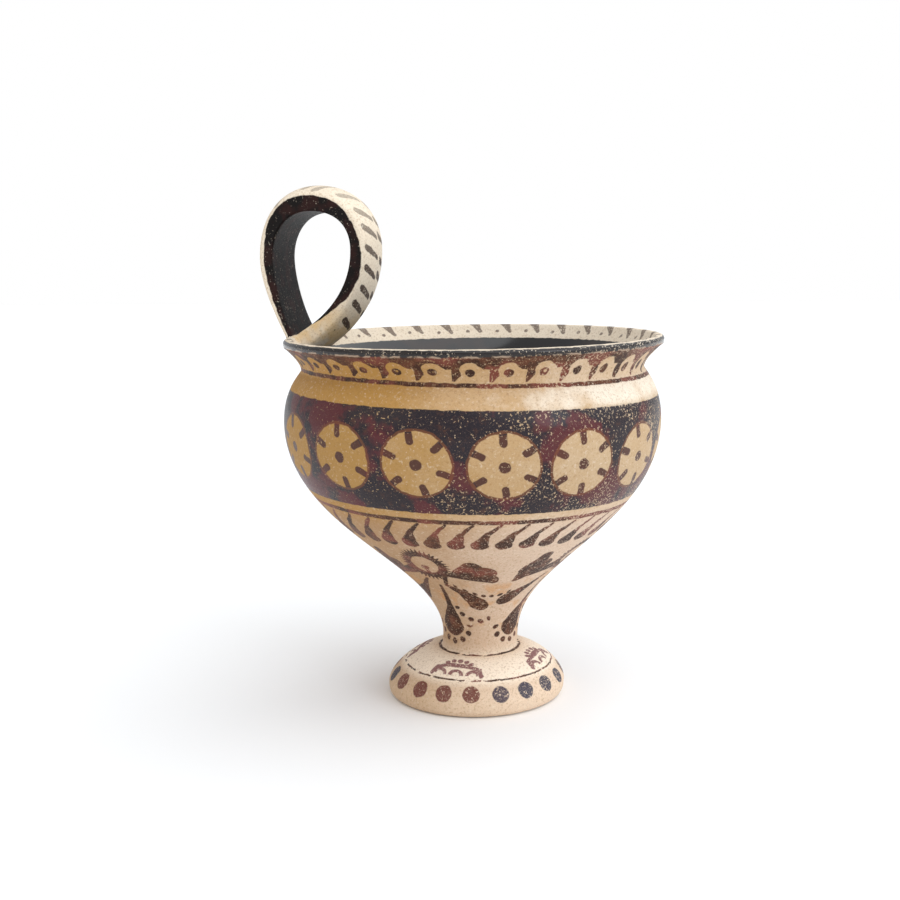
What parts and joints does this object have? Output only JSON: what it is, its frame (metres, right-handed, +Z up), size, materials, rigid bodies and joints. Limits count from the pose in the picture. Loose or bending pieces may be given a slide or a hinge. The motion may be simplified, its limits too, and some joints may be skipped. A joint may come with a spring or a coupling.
{
  "type": "chalice",
  "caption": "Footed drinking cup of painted earthenware with a flaring lip and a strap handle that loops high above the lip.",
  "frame": {"origin": "middle of the plan, on the plane that the foot rests on; the bowl's own axis is 6 mm towards +X", "axes": "+Z up, the handle towards -X"},
  "size_m": [0.1771, 0.165, 0.2268],
  "materials": {
    "painted_clay": "cream slip with brown-black painted bands, matt outside and glossy black inside, worn with pale speckles"
  },
  "bodies": {
    "root": {"chalice": "painted_clay"}
  },
  "joints": []
}
